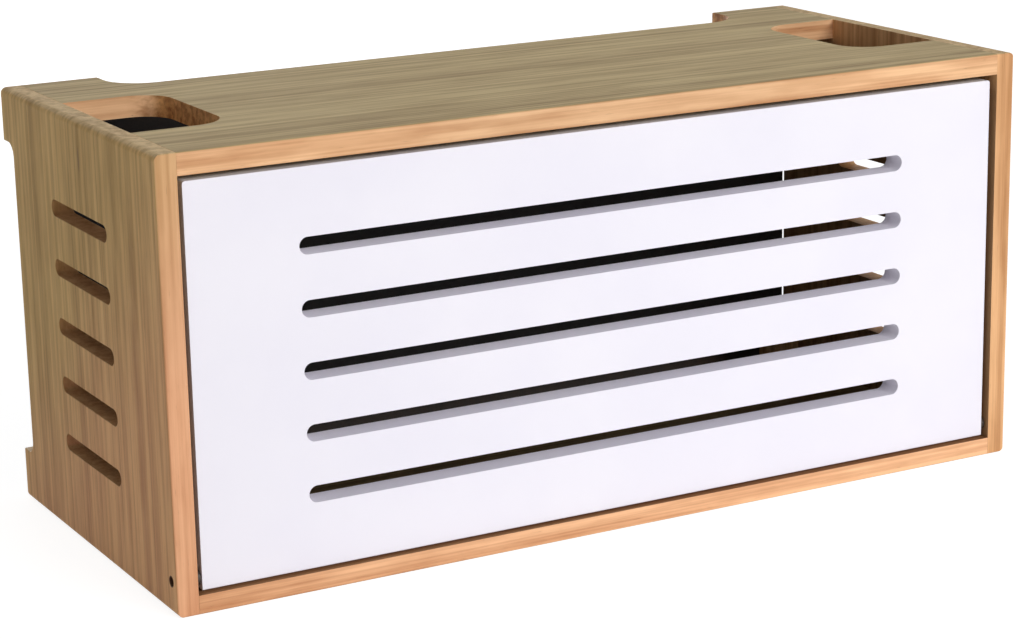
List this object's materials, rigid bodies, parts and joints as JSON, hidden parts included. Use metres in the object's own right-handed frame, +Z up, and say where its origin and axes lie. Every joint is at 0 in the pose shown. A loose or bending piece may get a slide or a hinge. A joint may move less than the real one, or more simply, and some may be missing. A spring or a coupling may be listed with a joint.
{
  "type": "router storage box",
  "caption": "Long wooden box with a slotted white drop-down front flap, side vents, antenna openings in the top and cable notches at the back, for hiding a router.",
  "frame": {"origin": "centre of the footprint, on the surface the box stands on", "axes": "+X along the width, the slotted front faces -Y, +Z up"},
  "size_m": [0.4, 0.175, 0.182],
  "materials": {
    "side_wood": "oiled solid wood, grain upright",
    "top_wood": "oiled solid wood, grain along the width",
    "white_lacquer": "board with white satin lacquer",
    "black_hardboard": "matte black hardboard",
    "inner_wood": "raw wood",
    "steel": "zinc-plated",
    "black_steel": "black oxide",
    "black_nylon": "matte moulded",
    "ferrite": "matte sintered"
  },
  "bodies": {
    "carcass": {"left_side_panel": "side_wood", "right_side_panel": "side_wood", "top_panel": "top_wood", "bottom_panel": "top_wood", "back_panel": "black_hardboard", "left_pivot_pin": "steel", "right_pivot_pin": "steel", "left_pivot_washer": "black_nylon", "right_pivot_washer": "black_nylon", "top_left_dowels": "inner_wood", "top_right_dowels": "inner_wood", "bottom_left_dowels": "inner_wood", "bottom_right_dowels": "inner_wood", "upper_left_corner_block": "inner_wood", "upper_right_corner_block": "inner_wood", "lower_left_corner_block": "inner_wood", "lower_right_corner_block": "inner_wood", "back_panel_screws": "black_steel", "catch_housing": "black_nylon", "catch_magnet": "ferrite", "catch_pole_plates": "steel", "catch_screws": "steel"},
    "flap": {"front_flap": "white_lacquer", "strike_plate": "steel", "strike_screws": "steel"}
  },
  "joints": [
    {"name": "flap_hinge", "type": "hinge", "parent": "carcass", "child": "flap", "pos_m": [0, -0.0823, 0.0138], "axis": [1, 0, 0], "range_deg": [0, 93]}
  ]
}
